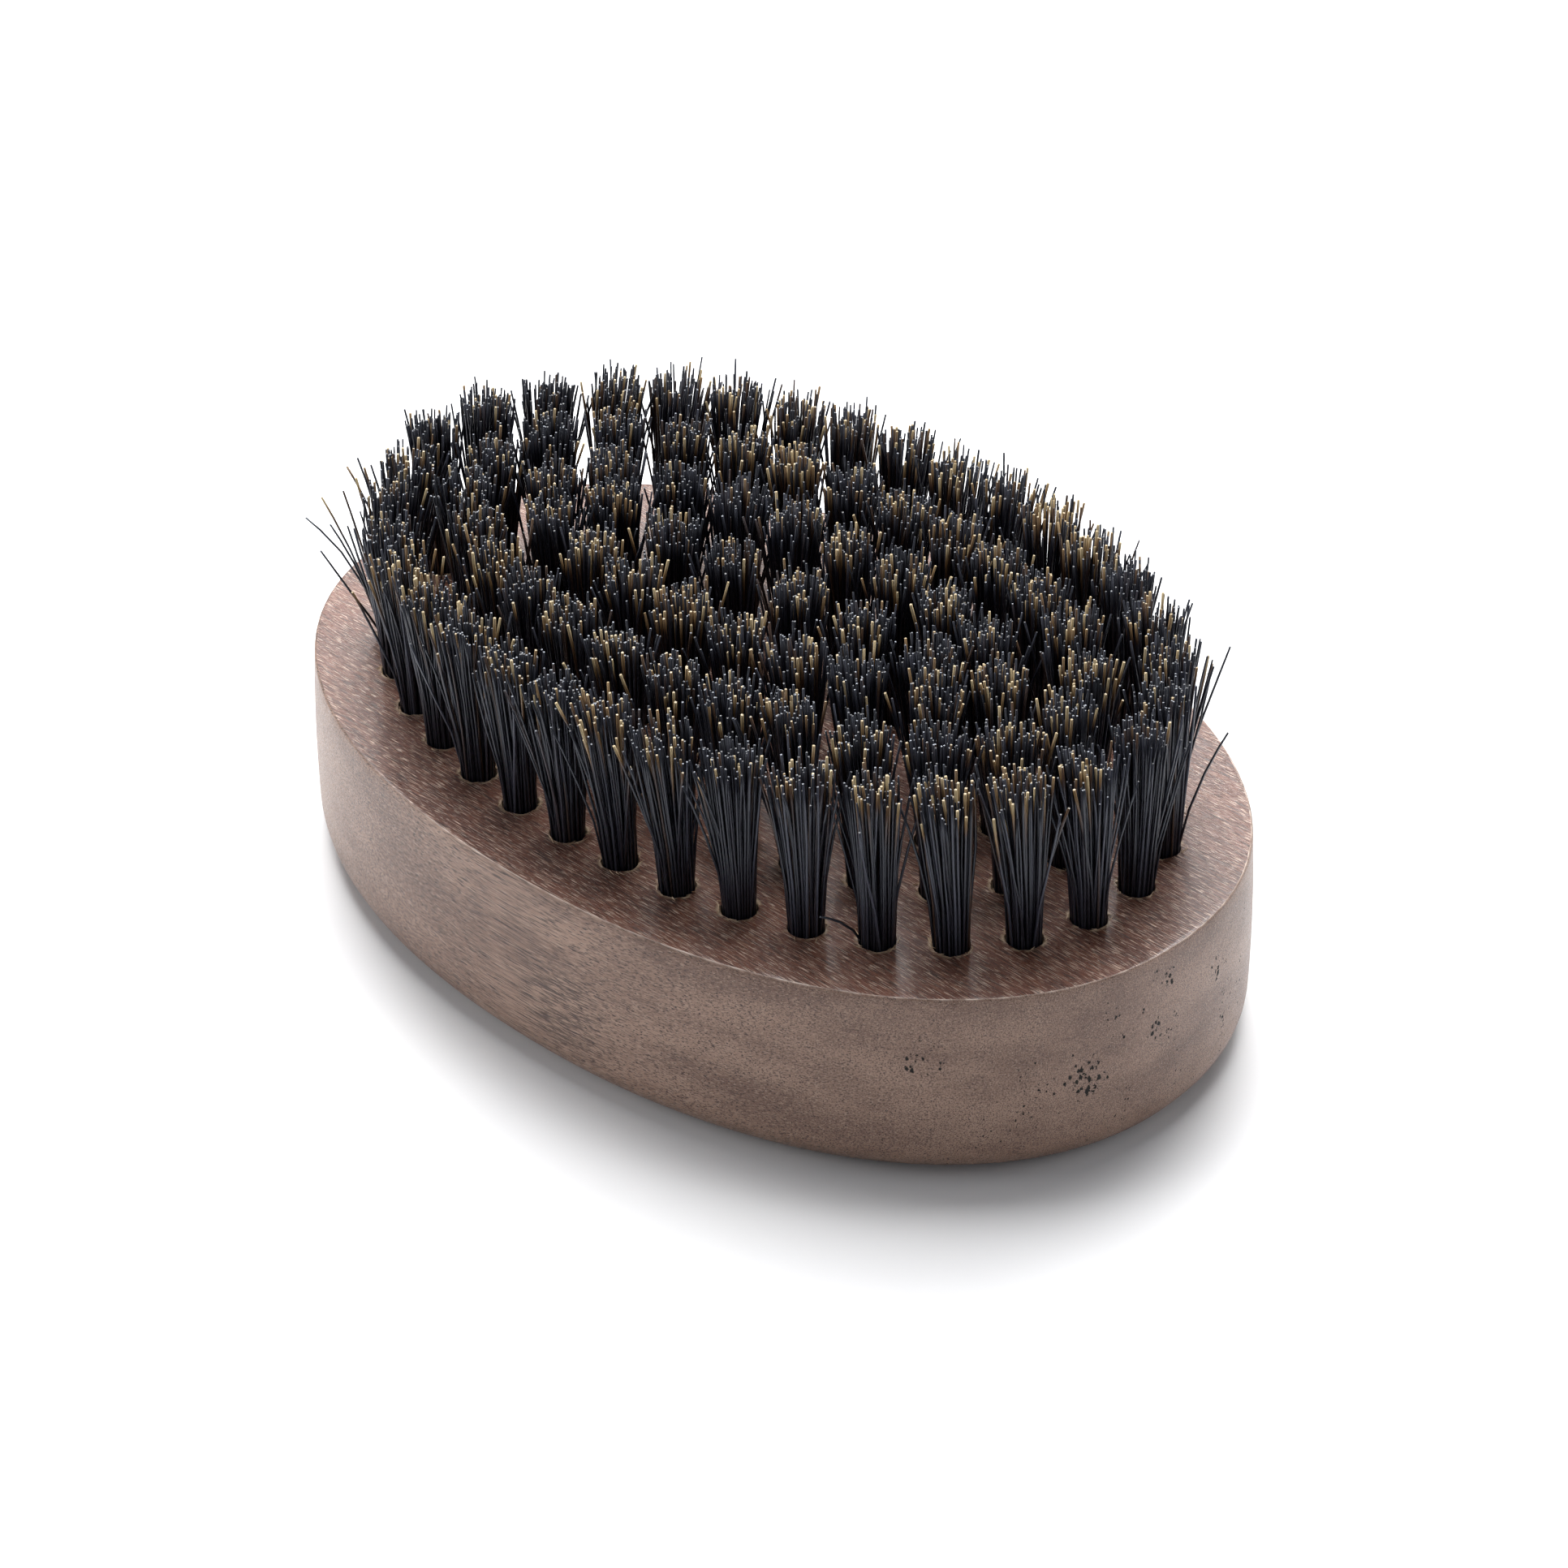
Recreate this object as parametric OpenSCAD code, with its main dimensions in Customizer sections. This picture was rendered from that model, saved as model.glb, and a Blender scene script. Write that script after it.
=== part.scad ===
// Oval palm brush for beards: a drilled hardwood block, bristle tufts in three rings and a
// centre row, and the flat-wire anchor that holds each tuft in its hole.
// Origin at the centre of the underside, +X along the block, +Z towards the bristle tips.

/* [Block] */
// Length of the block at its rim
block_length = 90; // [74:1:120]
// Width of the block at its rim
block_width = 60; // [50:1:80]
// Height of the block, without the bristles
block_height = 18; // [15:0.5:26]
// Fullness of the oval outline: 2 is a true ellipse, and more fills out its shoulders
oval_fullness = 2.13; // [2:0.01:2.6]
// How far the side wall bulges out past the rim at its widest
wall_bulge = 0.6; // [0:0.1:1.5]
// Depth below the rim at which the side wall is widest
bulge_depth = 13.5; // [8:0.5:16]
// Radius of the rounded edge round the underside
base_round = 3.5; // [1:0.5:6]
// Width of the small sanded edge round the top face
rim_break = 0.25; // [0.1:0.05:1]

/* [Tuft holes] */
// Diameter of each drilled hole
hole_diameter = 3; // [2.2:0.1:4]
// Depth of each drilled hole
hole_depth = 9; // [7:0.5:11]
// Distance from the rim to the centres of the outer ring of holes
rim_inset = 7; // [6:0.5:10]
// Distance between the ends of neighbouring rings, along the block
ring_step = 6.6; // [6:0.1:8]

/* [Bristles] */
// Height that the bristles stand above the block
bristle_height = 15; // [10:0.5:22]
// Diameter of a tuft across its trimmed tips
tip_diameter = 5; // [3.5:0.1:6]
// Radial clearance between a tuft and its hole
tuft_clearance = 0.05; // [0.02:0.01:0.2]
// Gap between neighbouring tips in the outer ring
outer_gap = 0.8; // [0.5:0.1:3]
// Gap between neighbouring tips in the second ring
second_gap = 0.9; // [0.5:0.1:3]
// Gap between neighbouring tips in the third ring
third_gap = 1.1; // [0.5:0.1:3]
// Gap between neighbouring tips in the centre row
centre_gap = 2.2; // [0.5:0.1:4]
// Least gap between the tips at the ends of the centre row and those of the third ring
end_gap = 0.1; // [0.05:0.05:1]

/* [Anchors] */
// Thickness of the flat wire that each anchor is cut from
anchor_thickness = 0.4; // [0.2:0.05:0.6]
// Height of the anchor up the hole
anchor_height = 2.2; // [1.5:0.1:3]
// How far each end of the anchor bites into the wall of the hole
anchor_bite = 0.2; // [0.1:0.05:0.4]
// Thickness of the bristle fold between the anchor and the bottom of the hole
fold_thickness = 1; // [0.6:0.1:1.5]

/* [Hidden] */
$fn = 40;
outline_steps = 96;
round_steps = 6;
wall_steps = 5;
arc_steps = 360;
// The anchors all lie at this angle to the grain, so that a row of them doesn't split the wood
anchor_turn = 45;
// How far round its ring each ring's first tuft stands, as a share of one space
ring_starts = [0.385, 0.225, 0.16];
ring_gaps = [outer_gap, second_gap, third_gap];
// Share of the bristle height over which a tuft stays as narrow as its hole
neck_share = 0.2;
// Rounding of the tuft's fold at the bottom, and of its trimmed tips at the top
fold_round = 0.6;
tip_crown = 0.5;

wood = [0.40, 0.27, 0.20];
bristle = [0.09, 0.09, 0.11];
steel = [0.72, 0.73, 0.75];

half_length = block_length / 2;
half_width = block_width / 2;
hole_floor = block_height - hole_depth;
anchor_length = hole_diameter + 2 * anchor_bite;
tuft_radius = hole_diameter / 2 - tuft_clearance;
tip_radius = tip_diameter / 2;
ring_count = len(ring_starts);
centre_steps = 50;
centre_half = centre_half_length();

KINDS = ["tufts", "anchors"];
RINGS = ["outer", "second", "third"];
ENDS = ["left", "right"];
SIDES = ["front", "back"];

function ring_node(ring, kind, end, side) = str(ring, "_", kind, "_", end, "_", side);

// The oval outline, and the offset of the side wall from the rim at each height
function curved(share) = sign(share) * pow(abs(share), 2 / oval_fullness);
function oval_point(half_l, half_w, angle) = [half_l * curved(cos(angle)), half_w * curved(sin(angle))];
function wall_offset(z) = wall_bulge * (1 - pow((block_height - z) / bulge_depth - 1, 2));

function side_profile() =
    let (wall_top = block_height - rim_break, round_offset = wall_offset(base_round) - base_round)
    concat(
        [
            for (i = [0:round_steps])
                let (turn = 90 * i / round_steps)
                [round_offset + base_round * sin(turn), base_round * (1 - cos(turn))]
        ],
        [
            for (i = [1:wall_steps])
                let (z = base_round + (wall_top - base_round) * i / wall_steps)
                [wall_offset(z), z]
        ],
        [[-rim_break, block_height]]
    );

// Size of each ring, and points spaced evenly along it
function ring_half_length(ring) = half_length - rim_inset - ring * ring_step;
function ring_half_width(ring) = (half_width - rim_inset) * (1 - ring / ring_count);
function ring_point(ring, angle) = oval_point(ring_half_length(ring), ring_half_width(ring), angle);

function arc_length(ring, from, to) = norm(ring_point(ring, to) - ring_point(ring, from));
function arc_lengths(ring, step = 360 / arc_steps) = [
    for (
        i = 0, total = 0;
        i <= arc_steps;
        total = total + arc_length(ring, i * step, (i + 1) * step), i = i + 1
    )
        [total, i * step]
];

function ring_places(ring) =
    let (
        lengths = arc_lengths(ring),
        whole = lengths[arc_steps][0],
        count = round(whole / (tip_diameter + ring_gaps[ring])),
        space = whole / count
    )
    [for (i = [0:count - 1]) ring_point(ring, lookup((i + ring_starts[ring]) * space, lengths))];

// The centre row ends one ring step inside the third ring, or sooner where the ring's tips come close
function ring_distance(x) = min([for (p = ring_places(ring_count - 1)) norm([abs(p.x) - x, p.y])]);
function centre_half_length() =
    let (longest = ring_half_length(ring_count))
    max([
        for (i = [0:centre_steps])
            let (x = longest * i / centre_steps)
            if (ring_distance(x) >= tip_diameter + end_gap) x
    ]);

function centre_places() =
    let (spaces = round(2 * centre_half / (tip_diameter + centre_gap)))
    [for (i = [0:spaces]) [centre_half * (2 * i / spaces - 1), 0]];

// The part of a ring that lies in one quarter of the block
function in_quarter(place, end, side) =
    (place.x < 0) == (end == "left") && (place.y < 0) == (side == "front");
function quarter_places(ring, end, side) = [for (p = ring_places(ring)) if (in_quarter(p, end, side)) p];
function all_places() = concat([for (ring = [0:ring_count - 1]) each ring_places(ring)], centre_places());

module at_places(places) {
    for (place = places)
        translate([place.x, place.y, 0])
            children();
}

// The solid oval body of the block, lofted up its side profile
module block_body() {
    profile = side_profile();
    levels = len(profile);
    points = [
        for (level = profile, k = [0:outline_steps - 1])
            let (p = oval_point(half_length + level[0], half_width + level[0], 360 * k / outline_steps))
            [p.x, p.y, level[1]]
    ];
    sides = [
        for (level = [0:levels - 2], k = [0:outline_steps - 1])
            let (
                next = (k + 1) % outline_steps,
                low = level * outline_steps,
                high = low + outline_steps
            )
            each [[low + k, high + next, low + next], [low + k, high + k, high + next]]
    ];
    underside = [for (k = [0:outline_steps - 1]) k];
    top_face = [for (k = [outline_steps - 1:-1:0]) (levels - 1) * outline_steps + k];
    polyhedron(points, concat([underside, top_face], sides));
}

module block() {
    color(wood)
        difference() {
            block_body();
            at_places(all_places()) {
                translate([0, 0, hole_floor])
                    cylinder(d = hole_diameter, h = hole_depth + 1);
                anchor();
            }
        }
}

// One piece of flat wire, driven on edge into the hole on top of the bristle fold
module anchor() {
    rotate(anchor_turn)
        translate([-anchor_length / 2, -anchor_thickness / 2, hole_floor + fold_thickness])
            cube([anchor_length, anchor_thickness, anchor_height]);
}

// One tuft: its fold under the anchor, its shank in the hole and its spreading bristles
module tuft() {
    neck = block_height + neck_share * bristle_height;
    tip = block_height + bristle_height;
    difference() {
        rotate_extrude()
            polygon([
                [0, hole_floor],
                [tuft_radius - fold_round, hole_floor],
                [tuft_radius, hole_floor + fold_round],
                [tuft_radius, neck],
                [tip_radius, tip - tip_crown],
                [tip_radius - tip_crown, tip],
                [0, tip]
            ]);
        anchor();
    }
}

module ring_tufts(ring, end, side) {
    color(bristle)
        at_places(quarter_places(ring, end, side))
            tuft();
}

module ring_anchors(ring, end, side) {
    color(steel)
        at_places(quarter_places(ring, end, side))
            anchor();
}

module centre_tufts() {
    color(bristle)
        at_places(centre_places())
            tuft();
}

module centre_anchors() {
    color(steel)
        at_places(centre_places())
            anchor();
}

block();
centre_tufts();
centre_anchors();
for (ring = [0:ring_count - 1], end = ENDS, side = SIDES) {
    ring_tufts(ring, end, side);
    ring_anchors(ring, end, side);
}
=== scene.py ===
import math
import random

import bmesh
import bpy
import numpy as np
from mathutils import Matrix, Vector, noise


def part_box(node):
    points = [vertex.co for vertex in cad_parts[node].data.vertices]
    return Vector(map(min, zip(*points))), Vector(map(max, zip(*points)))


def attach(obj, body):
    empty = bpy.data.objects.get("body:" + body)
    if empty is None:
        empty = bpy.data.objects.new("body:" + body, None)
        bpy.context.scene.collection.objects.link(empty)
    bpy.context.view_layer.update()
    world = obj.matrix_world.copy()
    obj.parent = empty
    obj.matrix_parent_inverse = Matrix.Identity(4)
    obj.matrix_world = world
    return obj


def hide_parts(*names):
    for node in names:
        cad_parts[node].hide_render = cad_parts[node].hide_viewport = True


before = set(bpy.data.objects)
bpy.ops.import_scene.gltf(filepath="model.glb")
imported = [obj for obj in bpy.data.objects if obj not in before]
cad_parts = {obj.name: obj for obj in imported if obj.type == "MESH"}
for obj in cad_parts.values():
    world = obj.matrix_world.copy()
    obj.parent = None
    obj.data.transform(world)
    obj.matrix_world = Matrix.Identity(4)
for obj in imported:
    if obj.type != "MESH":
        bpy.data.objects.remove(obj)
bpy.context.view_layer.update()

mm = 0.001

blockLow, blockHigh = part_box("block")
topZ = blockHigh.z                              # the drilled face of the block
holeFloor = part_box("centre_tufts")[0].z
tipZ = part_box("centre_tufts")[1].z              # where the bristles are trimmed to
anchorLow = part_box("centre_anchors")[0].z
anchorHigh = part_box("centre_anchors")[1].z


def smoothstep(low, high, value):
    share = min(max((value - low) / (high - low), 0), 1)
    return share * share * (3 - 2 * share)


def addPiece(name, bm, materials, replaced):
    mesh = bpy.data.meshes.new(name)
    bm.to_mesh(mesh)
    bm.free()
    return finishPiece(name, mesh, materials, replaced)


def finishPiece(name, mesh, materials, replaced):
    piece = bpy.data.objects.new(name, mesh)
    bpy.context.scene.collection.objects.link(piece)
    for material in materials:
        mesh.materials.append(material)
    if replaced:
        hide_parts(*replaced)
    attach(piece, "root")
    return piece


def solidPlaces(node):
    # middle of each separate solid in a CAD node, from the corners at its lowest level
    corners = [v.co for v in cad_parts[node].data.vertices]
    lowest = min(c.z for c in corners)
    groups = []
    for c in corners:
        if c.z > lowest + 0.05 * mm:
            continue
        for group in groups:
            if (group[0] - c.xy).length < 2.6 * mm:
                group.append(c.xy)
                break
        else:
            groups.append([c.xy])
    middles = []
    for group in groups:
        xs = [c.x for c in group]
        ys = [c.y for c in group]
        middles.append(Vector(((min(xs) + max(xs)) / 2, (min(ys) + max(ys)) / 2)))
    return sorted(middles, key=lambda p: math.atan2(p.y, p.x))


tuftNodes = sorted(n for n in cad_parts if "_tufts" in n)
anchorNodes = sorted(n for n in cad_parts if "_anchors" in n)
tuftPlaces = {n: solidPlaces(n) for n in tuftNodes}
anchorPlaces = {n: tuftPlaces[n.replace("_anchors", "_tufts")] for n in anchorNodes}
allPlaces = [p for n in tuftNodes for p in tuftPlaces[n]]
print("places found:", len(allPlaces), "tufts in", len(tuftNodes), "nodes")


class Nodes:
    # a short way to add and join shader nodes
    def __init__(self, name):
        self.material = bpy.data.materials.new(name)
        self.material.use_nodes = True
        self.tree = self.material.node_tree
        self.shader = self.tree.nodes["Principled BSDF"]

    def add(self, kind, settings=None, **inputs):
        node = self.tree.nodes.new(kind)
        for key, value in (settings or {}).items():
            setattr(node, key, value)
        for key, value in inputs.items():
            self.put(node, key.replace("_", " "), value)
        return node

    def put(self, node, key, value):
        socket = node.inputs[int(key[1:])] if key[0] == "i" and key[1:].isdigit() else node.inputs[key]
        if isinstance(value, bpy.types.NodeSocket):
            self.tree.links.new(value, socket)
        else:
            socket.default_value = value

    def place(self):
        return self.add("ShaderNodeTexCoord").outputs["Object"]

    def stretched(self, scale, turn=(0, 0, 0)):
        mapping = self.add("ShaderNodeMapping", Vector=self.place(), Scale=scale, Rotation=turn)
        return mapping.outputs["Vector"]

    def noise(self, scale, detail=2, roughness=0.5, turn=(0, 0, 0)):
        found = self.add("ShaderNodeTexNoise", Vector=self.stretched(scale, turn), Scale=1.0,
                         Detail=detail, Roughness=roughness)
        return found.outputs["Fac"]

    def warped(self, scale, amount):
        # places pushed about by a noise, so that what is drawn on them loses its even shape
        vector = self.stretched(scale)
        push = self.add("ShaderNodeTexNoise", Vector=vector, Scale=1.7, Detail=2)
        moved = self.add("ShaderNodeVectorMath", {"operation": "MULTIPLY_ADD"}, i0=push.outputs["Color"],
                         i1=(amount, amount, amount), i2=vector)
        return moved.outputs["Vector"]

    def between(self, value, low, high, out=(0, 1)):
        found = self.add("ShaderNodeMapRange", {"clamp": True, "interpolation_type": "SMOOTHSTEP"},
                         Value=value, From_Min=low, From_Max=high, To_Min=out[0], To_Max=out[1])
        return found.outputs["Result"]

    def sum(self, how, a, b):
        found = self.add("ShaderNodeMath", {"operation": how}, i0=a, i1=b)
        return found.outputs["Value"]

    def mix(self, share, a, b, how="MIX"):
        found = self.add("ShaderNodeMix", {"data_type": "RGBA", "blend_type": how}, i0=share, i6=a, i7=b)
        return found.outputs[2]

    def along(self, axis):
        return self.add("ShaderNodeSeparateXYZ", Vector=self.place()).outputs[axis]

    def near(self, spot, reach):
        # 1 at the spot, 0 past its reach
        away = self.add("ShaderNodeVectorMath", {"operation": "DISTANCE"}, i0=self.place(), i1=spot)
        return self.between(away.outputs["Value"], reach, 0.25 * reach)

    def attribute(self, name):
        return self.add("ShaderNodeAttribute", {"attribute_name": name}).outputs["Fac"]

    def bump(self, height, distance, strength=1.0, normal=None):
        found = self.add("ShaderNodeBump", Height=height, Distance=distance, Strength=strength)
        if normal is not None:
            self.put(found, "Normal", normal)
        return found.outputs["Normal"]


topLook = {
    "deep": (0.098, 0.028, 0.014, 1),      # stain in the dense late wood
    "middle": (0.160, 0.056, 0.032, 1),
    "pale": (0.27, 0.125, 0.080, 1),         # open fibres
    "glintFleck": (0.58, 0.42, 0.33, 1),        # short raised fibres, painted pale: painted glints where they catch the light
    "bare": (0.62, 0.46, 0.31, 1),         # torn wood round the holes, which the stain missed
    "vessel": (0.022, 0.008, 0.005, 1),    # dark open vessels
}


def topFaceWood():
    n = Nodes("stainedTopFace")
    broad = n.noise((40, 170, 170), detail=3)
    dash = n.noise((520, 8600, 8600), detail=3, roughness=0.62)
    glintFleck = n.noise((800, 13500, 13500), detail=1)
    fine = n.noise((1500, 12000, 12000), detail=2, roughness=0.6)
    colour = n.mix(n.between(broad, 0.35, 0.65), topLook["deep"], topLook["middle"])
    colour = n.mix(n.between(dash, 0.52, 0.64, (0, 0.6)), colour, topLook["pale"])
    # painted highlight: pale glints painted on short raised fibres
    colour = n.mix(n.between(glintFleck, 0.59, 0.63), colour, topLook["glintFleck"])
    colour = n.mix(n.between(dash, 0.46, 0.39, (0, 0.75)), colour, topLook["vessel"])
    colour = n.mix(n.attribute("bareWood"), colour, topLook["bare"])
    n.put(n.shader, "Base Color", colour)
    n.put(n.shader, "Roughness", n.between(fine, 0.3, 0.7, (0.26, 0.44)))
    n.shader.inputs["Coat Weight"].default_value = 0.35
    n.shader.inputs["Coat Roughness"].default_value = 0.18
    relief = n.bump(dash, 0.12 * mm, 1.0)
    relief = n.bump(glintFleck, 0.08 * mm, 1.0, relief)
    relief = n.bump(fine, 0.03 * mm, 0.7, relief)
    n.put(n.shader, "Normal", relief)
    return n.material


wallLook = {
    "deep": (0.150, 0.078, 0.052, 1),
    "middle": (0.300, 0.186, 0.134, 1),
    "pale": (0.420, 0.295, 0.225, 1),
    "dash": (0.045, 0.022, 0.015, 1),      # short dark vessels along the grain
    # near black: painted shade inside the open pores, which are only a shallow bump
    "poreShade": (0.006, 0.004, 0.003, 1),
    "edge": (0.78, 0.64, 0.55, 1),         # the pale line along the rim: partly real wear, partly painted highlight, with painted shade making it dark towards the left end
}
wallMarks = [
    # turn round the oval in degrees, height, reach and depth of each patch of open pores
    (-18.5, 8.8 * mm, 3.4 * mm, 1.0),
    (-5.0, 15.6 * mm, 2.4 * mm, 0.8),
    (-5.5, 11.0 * mm, 3.0 * mm, 0.75),
    (-12.0, 13.0 * mm, 4.0 * mm, 0.6),
    (-41.0, 12.6 * mm, 3.6 * mm, 0.7),
    (7.0, 12.8 * mm, 3.0 * mm, 0.8),
    (150.0, 9.0 * mm, 4.0 * mm, 0.7),
]
darkPatch = (-84.0, 7.2 * mm, 6.5 * mm)    # turn, height and reach of a darker stretch of the wall


def wallWood():
    n = Nodes("sandedSideWall")
    broad = n.noise((45, 80, 200), detail=5, roughness=0.65)
    dash = n.noise((480, 8200, 7600), detail=3, roughness=0.62)
    line = n.noise((380, 15000, 13000), detail=1)
    fine = n.noise((4200, 6500, 6500), detail=2)
    colour = n.mix(n.between(broad, 0.3, 0.7), wallLook["deep"], wallLook["middle"])
    colour = n.mix(n.between(dash, 0.52, 0.66, (0, 0.5)), colour, wallLook["pale"])
    colour = n.mix(n.between(dash, 0.44, 0.37, (0, 0.6)), colour, wallLook["dash"])
    colour = n.mix(n.between(line, 0.43, 0.37), colour, wallLook["dash"])
    
    turn, height, reach = darkPatch
    # a darker, grainy stretch low on the front of the wall
    darkStretch = n.sum("MULTIPLY", n.near(wallPoint(turn, height), reach), n.between(dash, 0.56, 0.42))
    colour = n.mix(n.sum("MULTIPLY", darkStretch, 0.8), colour, wallLook["dash"])

    # open pores: cells of which some are pits, wider where a patch of them lies
    uneven = n.warped((3000, 3200, 2300), 1.1)
    cells = n.add("ShaderNodeTexVoronoi", {"feature": "F1"}, Vector=uneven, Scale=1.0)
    chance = n.add("ShaderNodeSeparateColor", Color=cells.outputs["Color"]).outputs["Red"]
    endGrain = n.between(n.sum("ABSOLUTE", n.along("X"), 0.0), 20 * mm, 44 * mm, (0, 0.5))
    width = n.sum("MULTIPLY", endGrain, n.between(n.noise((260, 260, 150), detail=2), 0.52, 0.66))
    gaps = n.between(n.noise((420, 420, 260), detail=2), 0.36, 0.52)
    for turn, height, reach, depth in wallMarks:
        patch = n.sum("MULTIPLY", n.near(wallPoint(turn, height), reach), n.sum("MULTIPLY", gaps, depth))
        width = n.sum("MAXIMUM", width, patch)
    width = n.sum("MULTIPLY", width, n.between(chance, 0.25, 0.95, (0, 0.76)))
    pit = n.between(n.sum("SUBTRACT", width, cells.outputs["Distance"]), 0.0, 0.08)
    # painted shade: the pits are coloured near black as if in shadow
    colour = n.mix(pit, colour, wallLook["poreShade"])

    broken = n.between(n.noise((700, 700, 700), detail=2), 0.36, 0.56, (0.25, 1))
    # the rim line: pale from wear and painted highlight, mixed to the dark vessel colour towards the left end
    # as painted shade
    edge = n.mix(n.between(n.along("X"), -22 * mm, -2 * mm), wallLook["dash"], wallLook["edge"])
    colour = n.mix(n.sum("MULTIPLY", n.attribute("wornEdgeAndHighlight"), broken), colour, edge)
    n.put(n.shader, "Base Color", colour)
    satin = n.between(fine, 0.3, 0.7, (0.34, 0.52))
    n.put(n.shader, "Roughness", n.sum("MAXIMUM", satin, pit))
    n.shader.inputs["Coat Weight"].default_value = 0.10
    n.shader.inputs["Coat Roughness"].default_value = 0.32
    relief = n.bump(dash, 0.06 * mm, 1.0)
    relief = n.bump(line, 0.03 * mm, 1.0, relief)
    relief = n.bump(fine, 0.012 * mm, 0.7, relief)
    relief = n.bump(n.sum("SUBTRACT", 1.0, pit), 0.20 * mm, 1.0, relief)
    n.put(n.shader, "Normal", relief)
    return n.material


def tornWood():
    n = Nodes("tornWood")
    tone = n.noise((2500, 2500, 2500), detail=2)
    n.put(n.shader, "Base Color", n.mix(n.between(tone, 0.35, 0.65), (0.42, 0.28, 0.18, 1), topLook["bare"]))
    n.shader.inputs["Roughness"].default_value = 0.6
    n.put(n.shader, "Normal", n.bump(tone, 0.02 * mm, 0.6))
    return n.material


bristleLook = {
    "black": (0.0085, 0.0090, 0.0150, 1),
    # a lighter tone on some bristles, partly their own colour and partly painted sheen
    "slateToneAndSheen": (0.038, 0.040, 0.056, 1),
    "brown": (0.045, 0.023, 0.013, 1),
    "fade": (0.060, 0.028, 0.013, 1),      # between a dark shaft and its pale tip
    "tan": (0.23, 0.140, 0.060, 1),
    "cream": (0.44, 0.34, 0.19, 1),        # the last half millimetre of the palest tips
    "darkEnd": (0.012, 0.013, 0.018, 1),   # the cut across a bristle
    # grey on some cut ends: a painted glint on the flat cut
    "cutEndGlint": (0.24, 0.26, 0.30, 1),
    "tanEnd": (0.42, 0.33, 0.19, 1),
}


def bristleMaterial():
    n = Nodes("boarBristle")
    tan = n.attribute("tanShare")
    shade = n.attribute("shade")
    # slate: partly the bristles' own tone, partly painted sheen
    dark = n.mix(n.between(shade, 0.42, 0.90), bristleLook["black"], bristleLook["slateToneAndSheen"])
    dark = n.mix(n.between(shade, 0.90, 0.98), dark, bristleLook["brown"])
    middle = n.mix(n.between(tan, 0.0, 0.4), dark, bristleLook["fade"])
    pale = n.mix(n.between(tan, 0.25, 0.85), middle, bristleLook["tan"])
    n.put(n.shader, "Base Color", n.mix(n.between(tan, 0.75, 1.35), pale, bristleLook["cream"]))
    n.shader.inputs["Roughness"].default_value = 0.34
    n.shader.inputs["Specular IOR Level"].default_value = 0.5
    n.shader.inputs["Specular Tint"].default_value = (0.87, 0.92, 1.0, 1)
    return n.material


def cutEndMaterial():
    n = Nodes("bristleCutEnd")
    spots = n.noise((2600, 2600, 2600), detail=1)
    # painted highlight: some cut ends are grey as glints
    grey = n.mix(n.between(spots, 0.50, 0.62), bristleLook["darkEnd"], bristleLook["cutEndGlint"])
    pale = n.between(n.attribute("tanShare"), 0.2, 0.7)
    n.put(n.shader, "Base Color", n.mix(pale, grey, bristleLook["tanEnd"]))
    n.put(n.shader, "Roughness", n.between(spots, 0.3, 0.7, (0.35, 0.6)))
    return n.material


def steelMaterial():
    n = Nodes("drawnFlatWire")
    drawn = n.noise((900, 900, 26000), detail=2, turn=(0, 0, math.radians(45)))
    n.put(n.shader, "Base Color", n.mix(drawn, (0.36, 0.36, 0.38, 1), (0.62, 0.62, 0.64, 1)))
    n.shader.inputs["Metallic"].default_value = 1.0
    n.put(n.shader, "Roughness", n.between(drawn, 0.2, 0.8, (0.24, 0.42)))
    n.put(n.shader, "Normal", n.bump(drawn, 0.005 * mm, 0.5))
    return n.material


blockShape = {
    "fullness": 2.13,          # 2 is a true ellipse
    "wallBulge": 0.6 * mm,
    "bulgeDepth": 13.5 * mm,   # below the rim, where the wall is widest
    "baseRound": 3.5 * mm,
    "rimRound": 0.16 * mm,
    "rimWear": 0.06 * mm,      # how unevenly the rim is worn
    "flatEdge": 0.35 * mm,     # a narrow flat ring inside the rim
    "outlinePoints": 320,
    "baseSteps": 9,
    "wallSteps": 12,
    "rimSteps": 3,
}
holeShape = {
    "radius": 1.5 * mm,
    "tornWidth": 0.02 * mm,    # least width of the torn edge round a hole, and how much wider it gets
    "tornSpread": 0.24 * mm,
    "tornDepth": 0.14 * mm,
    "margin": 0.42 * mm,       # of sound wood in the ring of faces round a hole
    "points": 28,
}


def ovalPoint(halfLength, halfWidth, angle):
    power = 2 / blockShape["fullness"]
    x, y = math.cos(angle), math.sin(angle)
    return halfLength * math.copysign(abs(x) ** power, x), halfWidth * math.copysign(abs(y) ** power, y)


def wallOffset(z):
    return blockShape["wallBulge"] * (1 - ((topZ - z) / blockShape["bulgeDepth"] - 1) ** 2)


def wallPoint(turn, height):
    # a point on the side wall, by its turn round the oval in degrees and its height
    x, y = ovalPoint(blockHigh.x, blockHigh.y, math.radians(turn))
    return x, y, height


def sideProfile():
    # (offset from the rim, height, share of the worn and highlighted rim line) from the underside to the top
    # face
    base, rim = blockShape["baseRound"], blockShape["rimRound"]
    levels = []
    for i in range(blockShape["baseSteps"] + 1):
        turn = math.pi / 2 * i / blockShape["baseSteps"]
        levels.append((wallOffset(base) - base * (1 - math.sin(turn)), base * (1 - math.cos(turn)), 0))
    for i in range(1, blockShape["wallSteps"] + 1):
        z = base + (topZ - rim - base) * i / blockShape["wallSteps"]
        levels.append((wallOffset(z), z, 0))
    for i in range(1, blockShape["rimSteps"] + 1):
        share = i / blockShape["rimSteps"]
        turn = math.pi / 2 * share
        levels.append((-rim * (1 - math.cos(turn)), topZ - rim * (1 - math.sin(turn)), share ** 2))
    return levels


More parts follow.
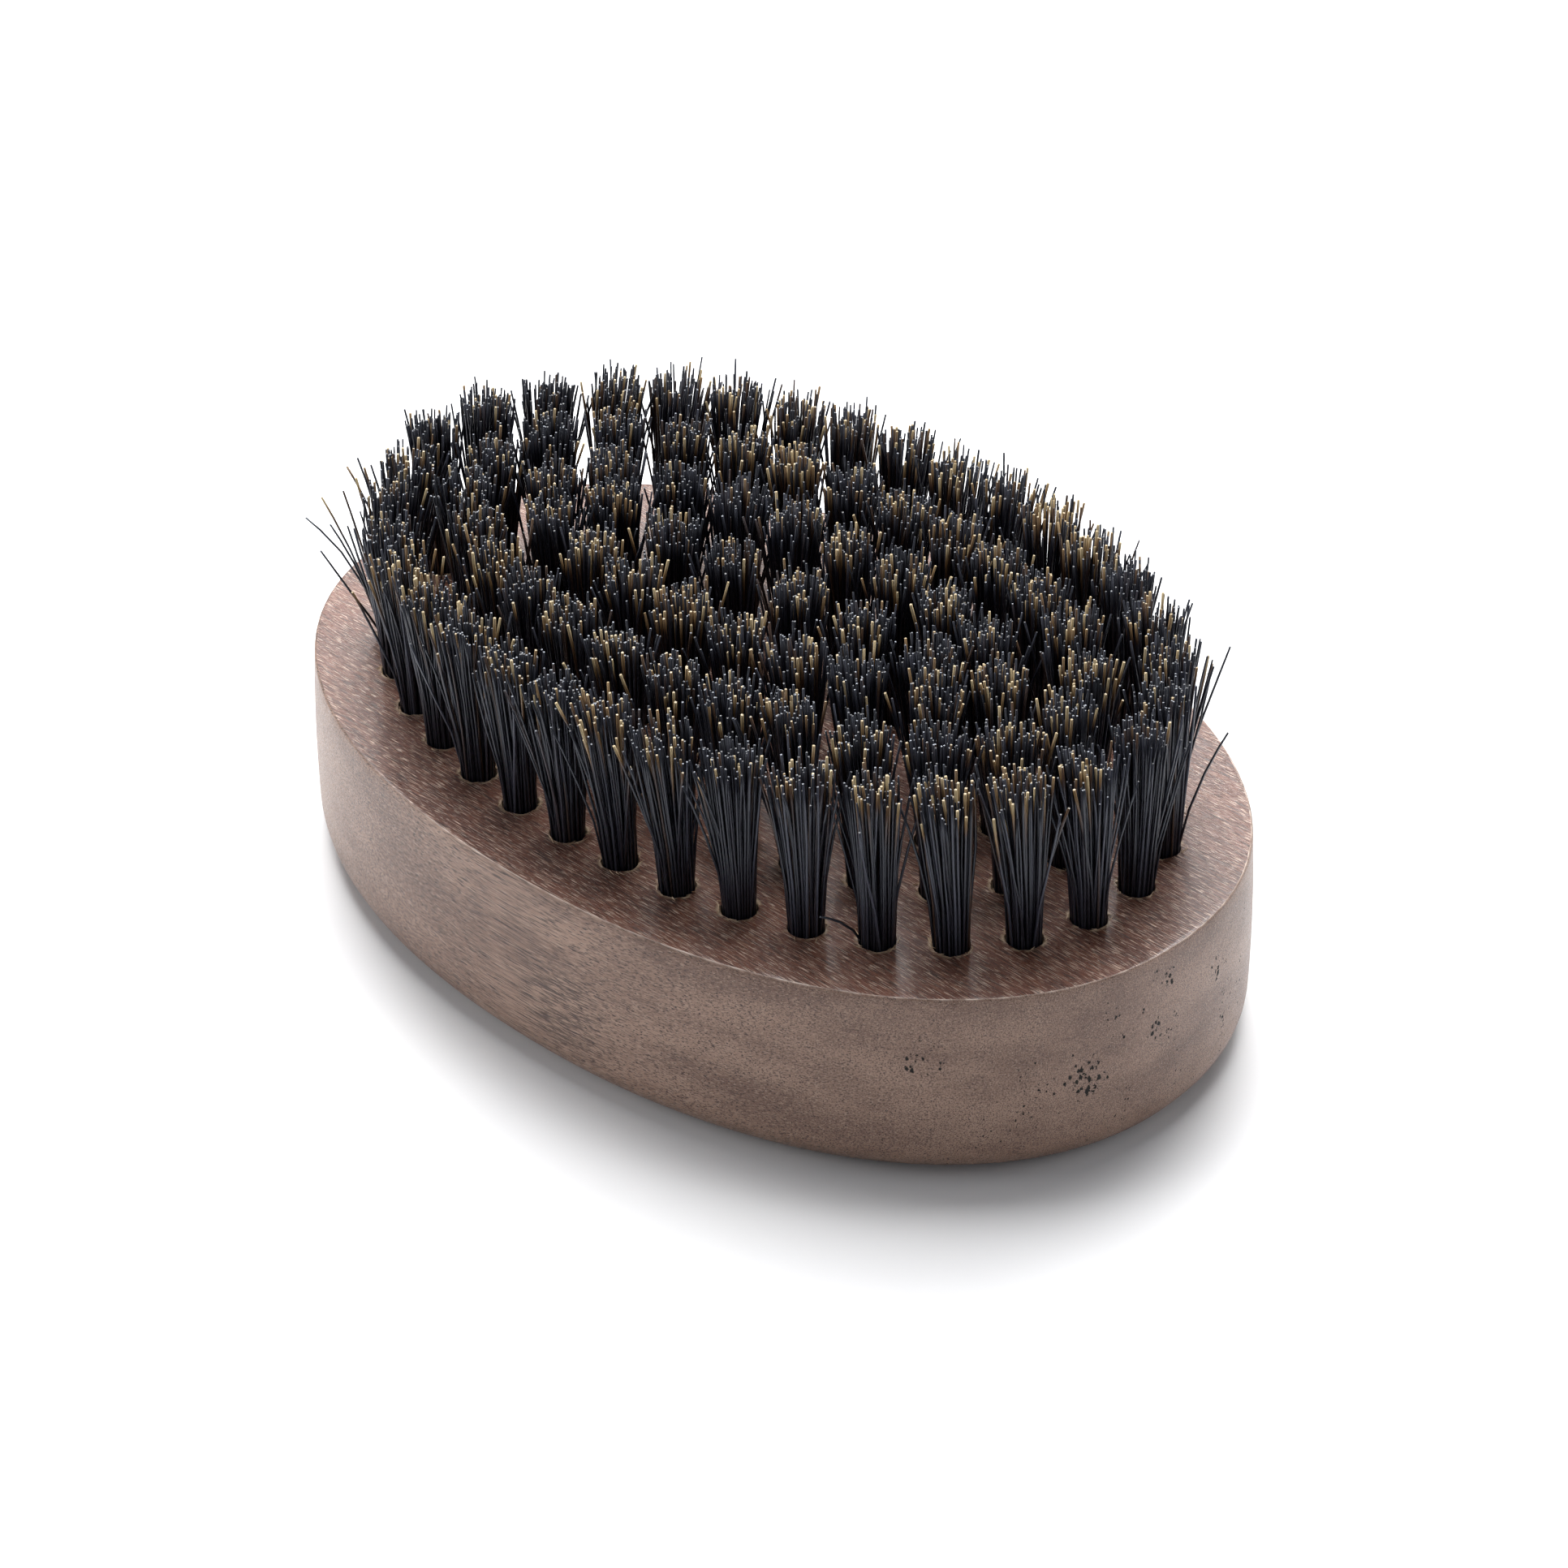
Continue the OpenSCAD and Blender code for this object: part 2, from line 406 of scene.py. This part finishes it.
def raiseWall(bm, halfLength, halfWidth):
    # the underside, pulled up level by level to the rim; gives back the edges round the top
    # how strongly the wall's material paints the rim line here, both wear and painted highlight
    worn = bm.verts.layers.float.new("wornEdgeAndHighlight")
    angles = {}

    def shapeLevel(verts, offset, z, wear):
        for v in verts:
            x, y = ovalPoint(halfLength + offset, halfWidth + offset, angles[v])
            v.co = Vector((x, y, z))
            if wear:
                rough = noise.noise(v.co * 900) + 0.6 * noise.noise(v.co * 2600)
                inward = Vector((x / halfLength ** 2, y / halfWidth ** 2, 0)).normalized()
                v.co -= inward * blockShape["rimWear"] * max(rough, 0)
                v.co.z -= 0.3 * blockShape["rimWear"] * max(rough, 0)
                v[worn] = wear * (0.3 + 0.7 * smoothstep(-0.4, 0.5, rough))

    def pullUp(edges, offset, z, wear):
        made = bmesh.ops.extrude_edge_only(bm, edges=edges)["geom"]
        fresh = [g for g in made if isinstance(g, bmesh.types.BMVert)]
        angles.update({v: next(angles[e.other_vert(v)] for e in v.link_edges if e.other_vert(v) in angles)
                       for v in fresh})
        shapeLevel(fresh, offset, z, wear)
        return made

    ring = bmesh.ops.create_circle(bm, segments=blockShape["outlinePoints"], radius=1, cap_ends=True)["verts"]
    for v in ring:
        angles[v] = math.atan2(v.co.y, v.co.x)
    levels = sideProfile()
    shapeLevel(ring, *levels[0])
    edges = list(bm.edges)
    for level in levels[1:]:
        made = pullUp(edges, *level)
        edges = [g for g in made if isinstance(g, bmesh.types.BMEdge)]
    made = pullUp(edges, -blockShape["rimRound"] - blockShape["flatEdge"], topZ, 0)
    for face in (g for g in made if isinstance(g, bmesh.types.BMFace)):
        face.material_index = 1
    return [g for g in made if isinstance(g, bmesh.types.BMEdge)]


def sinkHole(bm, place, edges, rng):
    # from a ring on the top face: a torn mouth, the drilled wall and the floor
    bare = bm.verts.layers.float["bareWood"]
    tears = [rng.random() for i in range(holeShape["points"])]
    heights = {"torn": topZ, "edge": topZ - holeShape["tornDepth"], "floor": holeFloor}
    for kind, z in heights.items():
        made = bmesh.ops.extrude_edge_only(bm, edges=edges)["geom"]
        fresh = [g for g in made if isinstance(g, bmesh.types.BMVert)]
        fresh.sort(key=lambda v: math.atan2(v.co.y - place.y, v.co.x - place.x))
        for i, v in enumerate(fresh):
            tear = 0.75 * tears[i] + 0.25 * tears[i - 1]
            reach = holeShape["radius"]
            if kind == "torn":
                reach += holeShape["tornWidth"] + holeShape["tornSpread"] * tear ** 3
            v.co.xy = place + (v.co.xy - place).normalized() * reach
            v.co.z = z
            v[bare] = {"torn": 0.9 * smoothstep(0.30, 0.75, tear), "edge": 0.9 * tear, "floor": 0.3}[kind]
        edges = [g for g in made if isinstance(g, bmesh.types.BMEdge)]
        for face in (g for g in made if isinstance(g, bmesh.types.BMFace)):
            face.material_index = 1
    for face in bmesh.ops.contextual_create(bm, geom=edges)["faces"]:
        face.material_index = 1


def makeBlock():
    bm = bmesh.new()
    bm.verts.layers.float.new("bareWood")
    rng = random.Random(11)
    outline = raiseWall(bm, blockHigh.x - blockShape["wallBulge"], blockHigh.y - blockShape["wallBulge"])
    wallFaces = set(bm.faces)
    mouths = []
    for place in allPlaces:
        ring = bmesh.ops.create_circle(
            bm, segments=holeShape["points"], radius=holeShape["radius"] + holeShape["margin"],
            matrix=Matrix.Translation((place.x, place.y, topZ)))["verts"]
        mouths.append((place, list({e for v in ring for e in v.link_edges})))
    fillEdges = outline + [e for place, ring in mouths for e in ring]
    bmesh.ops.triangle_fill(bm, use_beauty=True, use_dissolve=False, edges=fillEdges, normal=(0, 0, 1))
    for face in bm.faces:
        if face not in wallFaces:
            face.material_index = 1
    for place, ring in mouths:
        sinkHole(bm, place, ring, rng)
    bmesh.ops.recalc_face_normals(bm, faces=bm.faces)
    for face in bm.faces:
        face.smooth = True
    piece = addPiece("block", bm, [wallWood(), topFaceWood()], ["block"])
    piece.data.set_sharp_from_angle(angle=math.radians(40))
    return piece


tornFibres = {
    "count": (10, 17),                 # least and most slivers round a hole
    "length": (0.25 * mm, 0.80 * mm),
    "radius": (0.040 * mm, 0.085 * mm),
    "lift": (4, 32),                   # degrees above the top face
}


def makeTornFibres():
    # slivers of wood that the drill lifted round the holes, rooted just under the top face
    bm = bmesh.new()
    rng = random.Random(23)
    for place in allPlaces:
        for i in range(rng.randint(*tornFibres["count"])):
            around = rng.uniform(0, 2 * math.pi)
            out = holeShape["radius"] + rng.uniform(0.02, 0.22) * mm
            root = Vector((out * math.cos(around), out * math.sin(around), topZ - 0.02 * mm)) + place.to_3d()
            length = rng.uniform(*tornFibres["length"])
            wide = rng.uniform(*tornFibres["radius"])
            lift = math.radians(rng.uniform(*tornFibres["lift"]))
            heading = around + rng.choice((-1, 1)) * rng.uniform(0.6, 2.0)
            turned = Matrix.Rotation(heading, 4, "Z") @ Matrix.Rotation(math.pi / 2 - lift, 4, "Y")
            bmesh.ops.create_cone(
                bm, cap_ends=True, segments=4, radius1=wide, radius2=0.25 * wide, depth=length,
                matrix=Matrix.Translation(root) @ turned @ Matrix.Translation((0, 0, 0.4 * length)))
    return addPiece("torn_fibres", bm, [tornWood()], [])


tuftShape = {
    "pairs": 54,                    # bristles folded in half in one tuft, two tips each
    "thickness": (0.100 * mm, 0.130 * mm),   # least and most radius of a bristle
    "neckRadius": 1.39 * mm,        # of the bundle where it leaves the hole
    "tipRadius": 2.55 * mm,
    "spreadFrom": 0.08,             # share of the height where the bundle starts to open
    "flare": 1.18,                  # 1 opens in a straight line
    "dome": 0.50 * mm,              # how much lower the outer bristles end
    "unevenTrim": 0.68 * mm,
    "tallest": 0.90 * mm,           # above the trim height
    "waver": 0.40 * mm,             # how far a bristle bends by chance
    "clumps": 13,                   # spots in a tuft that the tips are drawn to
    "clumpPull": 0.24,
    "ownLean": 0.22 * mm,           # how far one whole tuft leans by chance
    "strayShare": 0.16,
    "strayReach": 2.1 * mm,
    "leanLength": -0.021,           # the tufts lean in towards the middle along the block
    "leanWidth": 0.034,             # and out over its sides
    "sides": 5,
    "levels": (0, 0.30, 0.60, 0.84, 1),      # shares of the height where a bristle has a ring
}
bristleTints = {
    "tanTips": 0.20,                # share of bristles with a pale tip, and how much that differs by tuft
    "tanSpread": 0.10,
    "tanStart": (0.66, 0.88),       # share of the height where the tip starts to pale
    "brown": 0.10,
}
wildBristles = [
    # bristles that stand well out: the tuft nearest the spot, degrees from the length of the block,
    # how far out the tip is, how much lower it ends, and how far it bows up on the way
    {"near": (-34, -12), "towards": 205, "reach": 6.4 * mm, "drop": 4.6 * mm, "bow": 1.3 * mm},
    {"near": (-34, -12), "towards": 212, "reach": 4.4 * mm, "drop": 1.8 * mm, "bow": 0.3 * mm},
    {"near": (-33, -14), "towards": 228, "reach": 4.6 * mm, "drop": 6.2 * mm, "bow": -0.8 * mm},
    {"near": (-33, -14), "towards": 236, "reach": 3.6 * mm, "drop": 3.2 * mm, "bow": 0.6 * mm},
    {"near": (-38, -6), "towards": 190, "reach": 4.6 * mm, "drop": 3.4 * mm, "bow": 1.0 * mm},
    {"near": (27, -17), "towards": 238, "reach": 3.4 * mm, "drop": 11.8 * mm, "bow": 0.4 * mm},
    {"near": (6, -22), "towards": 330, "reach": 3.0 * mm, "drop": 3.0 * mm, "bow": -0.5 * mm},
    {"near": (-14, -21), "towards": 205, "reach": 3.2 * mm, "drop": 2.4 * mm, "bow": 0.5 * mm},
    {"near": (20, 19), "towards": 60, "reach": 3.8 * mm, "drop": 3.0 * mm, "bow": 0.8 * mm},
    {"near": (-20, 19), "towards": 110, "reach": 3.6 * mm, "drop": 2.2 * mm, "bow": 0.5 * mm},
    {"near": (38, 6), "towards": 20, "reach": 3.4 * mm, "drop": 2.6 * mm, "bow": 0.6 * mm},
]
for wild in wildBristles:
    wild["place"] = min(allPlaces, key=lambda p: (p - Vector(wild["near"]) * mm).length)
anchorTurn = math.radians(45)


def hairpinTemplate():
    # a straight tube with one ring for each point of the path: up one side, round the fold, up the other
    rings = 2 * len(tuftShape["levels"]) + 3
    bm = bmesh.new()
    bmesh.ops.create_circle(bm, segments=tuftShape["sides"], radius=1, cap_ends=True)
    ends = list(bm.faces)
    edges = list(bm.edges)
    for i in range(1, rings):
        found = bmesh.ops.extrude_edge_only(bm, edges=edges)["geom"]
        for v in (g for g in found if isinstance(g, bmesh.types.BMVert)):
            v.co.z = i
        edges = [g for g in found if isinstance(g, bmesh.types.BMEdge)]
    ends += bmesh.ops.contextual_create(bm, geom=edges)["faces"]
    bmesh.ops.recalc_face_normals(bm, faces=bm.faces)
    for face in bm.faces:
        face.material_index = 1 if face in ends else 0
        face.smooth = face not in ends
    mesh = bpy.data.meshes.new("hairpin")
    bm.to_mesh(mesh)
    bm.free()
    return mesh, rings


def tuftCharacter(rng):
    # what makes one tuft differ from the next
    clumps = []
    for i in range(tuftShape["clumps"]):
        turn, out = rng.uniform(0, 2 * math.pi), math.sqrt(rng.random())
        clumps.append(Vector((out * math.cos(turn), out * math.sin(turn))))
    return {
        "clumps": clumps,
        "spread": 1 + rng.gauss(0, 0.05),
        "lean": Vector((rng.gauss(0, 1), rng.gauss(0, 1))) * tuftShape["ownLean"],
        "trim": rng.gauss(0, 0.12) * mm,
        "tanTips": max(rng.gauss(bristleTints["tanTips"], bristleTints["tanSpread"]), 0.05),
    }


def bristleLine(rng, place, spot, tuft):
    # # points from the hole's mouth to the tip, for a bristle at that spot of the bundle
    stray = rng.random() < tuftShape["strayShare"]
    height = tipZ - topZ + tuft["trim"] - tuftShape["dome"] * spot.length_squared
    height += rng.gauss(0, 1) * tuftShape["unevenTrim"] - (0.5 * mm if stray else 0)
    height = min(height, tipZ - topZ + tuftShape["tallest"] - rng.random() * 0.4 * mm)
    clump = min(tuft["clumps"], key=lambda c: (c - spot).length)
    tip = spot.lerp(clump, tuftShape["clumpPull"]) * tuftShape["tipRadius"] * tuft["spread"]
    tip *= 1 + rng.gauss(0, 0.06)
    tip += tuft["lean"] + Vector((tuftShape["leanLength"] * place.x, tuftShape["leanWidth"] * place.y))
    bend = Vector((rng.gauss(0, 0.5), rng.gauss(0, 0.5))) * tuftShape["waver"]
    tip += Vector((rng.gauss(0, 0.4), rng.gauss(0, 0.4))) * tuftShape["waver"]
    if stray:
        turn = math.atan2(spot.y, spot.x) + rng.gauss(0, 0.9)
        tip += Vector((math.cos(turn), math.sin(turn))) * tuftShape["strayReach"] * rng.uniform(0.3, 1.2)
    neck = spot * tuftShape["neckRadius"]
    points = []
    for share in tuftShape["levels"]:
        opened = max(share - tuftShape["spreadFrom"], 0) / (1 - tuftShape["spreadFrom"])
        out = neck.lerp(tip, opened ** tuftShape["flare"]) + bend * math.sin(math.pi * share) * share
        points.append(Vector((place.x + out.x, place.y + out.y, topZ + height * share)))
    return points


def wildLine(place, wild):
    turn = math.radians(wild["towards"])
    heading = Vector((math.cos(turn), math.sin(turn)))
    points = []
    for share in tuftShape["levels"]:
        out = heading * (0.9 * tuftShape["neckRadius"] + wild["reach"] * share ** 1.3)
        z = topZ + (tipZ - topZ - wild["drop"]) * share + wild["bow"] * math.sin(math.pi * share)
        points.append(Vector((place.x + out.x, place.y + out.y, z)))
    return points


def hairpinPath(rng, place, along, across, tuft, wild):
    # along and across: the bristle's spot in the bundle, as shares of its radius, the anchor's way round
    alongDir = Vector((math.cos(anchorTurn), math.sin(anchorTurn)))
    acrossDir = Vector((-math.sin(anchorTurn), math.cos(anchorTurn)))
    halves = []
    for side in (1, -1):
        spot = alongDir * (along + rng.gauss(0, 0.03)) + acrossDir * (across * side + rng.gauss(0, 0.03))
        if spot.length > 1:
            spot.normalize()
        halves.append(bristleLine(rng, place, spot, tuft))
    if wild:
        halves[0] = wildLine(place, wild)
    clear = 0.34 * mm                    # past half the anchor and half a bristle
    reach = clear + across * (1.34 * mm - clear)
    alongNow = along * 1.25 * mm * (1 if across < 0.5 else 0.8)
    depth = 0.25 * mm + 0.60 * mm * across
    fold = []
    for acrossShare, drop in ((1, 0), (0, 1), (-1, 0)):
        spot = alongDir * alongNow + acrossDir * reach * acrossShare
        fold.append(Vector((place.x + spot.x, place.y + spot.y, anchorLow - depth * drop)))
    return list(reversed(halves[0])) + fold + halves[1]


def bundleSpots(rng):
    # even spots over the half of the bundle that lies on one side of the anchor
    total = 2 * tuftShape["pairs"]
    spots = []
    start = rng.random() * 2 * math.pi
    i = 0
    while len(spots) < tuftShape["pairs"]:
        angle = start + i * math.pi * (3 - math.sqrt(5))
        radius = math.sqrt((i % total + 0.5) / total)
        if math.sin(angle) > 0:
            spots.append((radius * math.cos(angle), radius * math.sin(angle)))
        i += 1
    return spots


def tubeCorners(paths, radii, rings, turns):
    # paths: strands x rings x 3; the corners of every ring, square to its path
    ahead = np.gradient(paths, axis=1)
    ahead /= np.linalg.norm(ahead, axis=2, keepdims=True)
    first = np.array([math.cos(anchorTurn), math.sin(anchorTurn), 0.0])
    acrossNow = np.cross(ahead, first)
    acrossNow /= np.linalg.norm(acrossNow, axis=2, keepdims=True)
    alongNow = np.cross(acrossNow, ahead)
    middle = paths[:, rings]
    wide = radii[:, rings][:, :, None]
    return middle + wide * (np.cos(turns)[None, :, None] * alongNow[:, rings]
                            + np.sin(turns)[None, :, None] * acrossNow[:, rings])


def tanRow(rng, tuft, ringCount):
    # how pale the bristle is at each ring, for both of its tips, and how much thicker it is there
    row = [0.0] * ringCount
    levels = tuftShape["levels"]
    for half in (0, 1):
        strength = rng.uniform(0.4, 1.6) if rng.random() < tuft["tanTips"] else 0.0
        start = rng.uniform(*bristleTints["tanStart"])
        for i, share in enumerate(levels):
            value = strength * max(share - start, 0) / (1 - start)
            row[len(levels) - 1 - i if half == 0 else ringCount - len(levels) + i] = value
    return row


def makeTufts(node, template, ringCount, materials):
    rng = random.Random(node)
    paths, radii, tans, shades = [], [], [], []
    for place in tuftPlaces[node]:
        tuft = tuftCharacter(rng)
        wilds = [w for w in wildBristles if w["place"] is place]
        for along, across in bundleSpots(rng):
            wild = wilds.pop() if wilds and across > 0.55 else None
            paths.append(hairpinPath(rng, place, along, across, tuft, wild))
            tans.append(tanRow(rng, tuft, ringCount))
            thick = rng.uniform(*tuftShape["thickness"])
            taper = [1 - 0.26 * abs(2 * i / (ringCount - 1) - 1) ** 4 for i in range(ringCount)]
            radii.append([thick * (t + 0.22 * min(tan, 1)) for t, tan in zip(taper, tans[-1])])
            shade = rng.uniform(0.92, 1.0) if rng.random() < bristleTints["brown"] else rng.uniform(0, 0.85)
            shades.append([shade] * ringCount)
    bm = bmesh.new()
    for path in paths:
        bm.from_mesh(template)
    mesh = bpy.data.meshes.new(node)
    bm.to_mesh(mesh)
    bm.free()
    rings = np.array([round(v.co.z) for v in template.vertices])
    turns = np.array([math.atan2(v.co.y, v.co.x) for v in template.vertices])
    corners = tubeCorners(np.array(paths, float), np.array(radii, float), rings, turns)
    mesh.vertices.foreach_set("co", corners.reshape(-1).astype(np.float32))
    for name, rows in (("tanShare", tans), ("shade", shades)):
        attribute = mesh.attributes.new(name, "FLOAT", "POINT")
        attribute.data.foreach_set("value", np.array(rows, float)[:, rings].reshape(-1).astype(np.float32))
    mesh.update()
    return finishPiece(node, mesh, materials, [node])


block = makeBlock()
print("block:", len(block.data.polygons), "faces")
fibres = makeTornFibres()
print("torn fibres:", len(fibres.data.polygons), "faces")

template, ringCount = hairpinTemplate()
bristleMaterials = [bristleMaterial(), cutEndMaterial()]
for node in tuftNodes:
    piece = makeTufts(node, template, ringCount, bristleMaterials)
    print(node, len(piece.data.polygons), "faces")
bpy.data.meshes.remove(template)

steel = steelMaterial()
for node in anchorNodes:
    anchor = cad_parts[node]
    anchor.data.materials.clear()
    anchor.data.materials.append(steel)


studio = {
    "floorSize": 3.0,
    "floorColour": (0.90, 0.90, 0.905, 1),
    "floorShade": (0.88, 0.88, 0.89, 1),
    "skyColour": (0.88, 0.93, 1.0, 1),
    "skyStrength": 0.19,
    "softboxes": [
        # name, turn and lift in degrees, distance, size across and up, watts
        ("back", 218, 42, 0.80, 0.90, 0.50, 6.0),
        ("topBack", 226, 63, 0.70, 0.52, 0.52, 9.2),
        ("left", 306, 20, 0.80, 0.50, 0.30, 1.9),
        ("right", 138, 20, 0.80, 0.50, 0.30, 1.0),
        ("front", 20, 34, 0.90, 0.60, 0.40, 0.2),
    ],
}


def makeFloor():
    bm = bmesh.new()
    bmesh.ops.create_grid(bm, x_segments=8, y_segments=8, size=studio["floorSize"] / 2)
    mesh = bpy.data.meshes.new("floor")
    bm.to_mesh(mesh)
    bm.free()
    floor = bpy.data.objects.new("floor", mesh)
    bpy.context.scene.collection.objects.link(floor)
    n = Nodes("paleFloor")
    soft = n.noise((30, 30, 30), detail=2)
    n.put(n.shader, "Base Color", n.mix(n.between(soft, 0.3, 0.7), studio["floorColour"], studio["floorShade"]))
    n.shader.inputs["Roughness"].default_value = 0.8
    n.shader.inputs["Specular IOR Level"].default_value = 0.2
    mesh.materials.append(n.material)


def direction(turn, lift):
    turn, lift = math.radians(turn), math.radians(lift)
    return Vector((math.sin(turn) * math.cos(lift), -math.cos(turn) * math.cos(lift), math.sin(lift)))


def makeLights():
    world = bpy.data.worlds.new("studioWhite")
    bpy.context.scene.world = world
    world.use_nodes = True
    background = world.node_tree.nodes["Background"]
    background.inputs["Color"].default_value = studio["skyColour"]
    background.inputs["Strength"].default_value = studio["skyStrength"]
    for name, turn, lift, distance, across, up, watts in studio["softboxes"]:
        light = bpy.data.lights.new(name, "AREA")
        light.shape = "RECTANGLE"
        light.size = across
        light.size_y = up
        light.energy = watts
        lamp = bpy.data.objects.new(name, light)
        bpy.context.scene.collection.objects.link(lamp)
        towards = direction(turn, lift)
        lamp.location = Vector((0, 0, topZ)) + towards * distance
        lamp.rotation_euler = towards.to_track_quat("Z", "Y").to_euler()


cameraSetup = {
    "turn": 42.75,             # degrees round from the front, towards the right-hand end
    "lift": 35.59,             # degrees above the table
    "roll": -0.31,
    "distance": 313.35 * mm,
    "aimRight": 1.41 * mm,     # the point looked at, from the middle of the top face
    "aimUp": -5.77 * mm,
    "lens": 85,
    "sensor": 36,
}


def setCamera():
    turn = math.radians(cameraSetup["turn"])
    back = direction(cameraSetup["turn"], cameraSetup["lift"])
    right = Vector((math.cos(turn), math.sin(turn), 0))
    up = back.cross(right)
    axes = Matrix((right, up, back)).transposed() @ Matrix.Rotation(math.radians(cameraSetup["roll"]), 3, "Z")
    aim = Vector((0, 0, topZ)) + right * cameraSetup["aimRight"] + up * cameraSetup["aimUp"]
    lens = bpy.data.cameras.new("camera")
    lens.lens = cameraSetup["lens"]
    lens.sensor_width = cameraSetup["sensor"]
    lens.clip_start = 0.01
    lens.clip_end = 20
    camera = bpy.data.objects.new("camera", lens)
    bpy.context.scene.collection.objects.link(camera)
    camera.matrix_world = Matrix.Translation(aim + back * cameraSetup["distance"]) @ axes.to_4x4()
    bpy.context.scene.camera = camera


makeFloor()
makeLights()
setCamera()
bpy.context.scene.view_settings.view_transform = "Standard"
print("studio ready")

bpy.context.view_layer.update()
